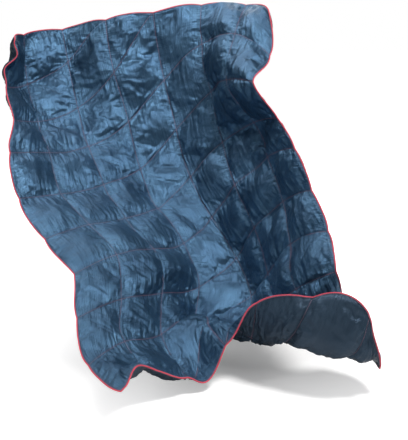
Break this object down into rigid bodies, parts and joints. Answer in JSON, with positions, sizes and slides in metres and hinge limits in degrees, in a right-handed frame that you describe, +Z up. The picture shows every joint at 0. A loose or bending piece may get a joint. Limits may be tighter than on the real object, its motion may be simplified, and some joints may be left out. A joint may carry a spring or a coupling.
{
  "type": "camp blanket",
  "caption": "Quilted down camp blanket with a glossy face, matte lining and piped edge, in a tossed, wind-caught drape, held at its head hem.",
  "frame": {"origin": "middle of the head hem, at the edge of the fabric, where the blanket is held", "axes": "+X to the right seen from the face side, +Y away from the viewer, from the foot hem towards the head hem along the ground, +Z up"},
  "size_m": [1.3592, 1.5513, 1.2257],
  "materials": {
    "face_nylon": "satin ripstop nylon",
    "lining_nylon": "matte brushed nylon",
    "down": "loose down clusters",
    "thread": "polyester sewing thread",
    "piping_tape": "woven binding tape",
    "piping_core": "twisted cotton filler cord"
  },
  "bodies": {
    "root": {"face_fabric": "face_nylon", "lining_fabric": "lining_nylon", "down_filling_1": "down", "down_filling_2": "down", "down_filling_3": "down", "down_filling_4": "down", "down_filling_5": "down", "down_filling_6": "down", "down_filling_7": "down", "long_stitching_1": "thread", "long_stitching_2": "thread", "long_stitching_3": "thread", "long_stitching_4": "thread", "long_stitching_5": "thread", "long_stitching_6": "thread", "cross_stitching_1": "thread", "cross_stitching_2": "thread", "cross_stitching_3": "thread", "cross_stitching_4": "thread", "cross_stitching_5": "thread", "cross_stitching_6": "thread", "cross_stitching_7": "thread", "cross_stitching_8": "thread", "cross_stitching_9": "thread", "cross_stitching_10": "thread", "piping_cover": "piping_tape", "piping_cord": "piping_core", "edge_stitching": "thread"}
  },
  "joints": []
}
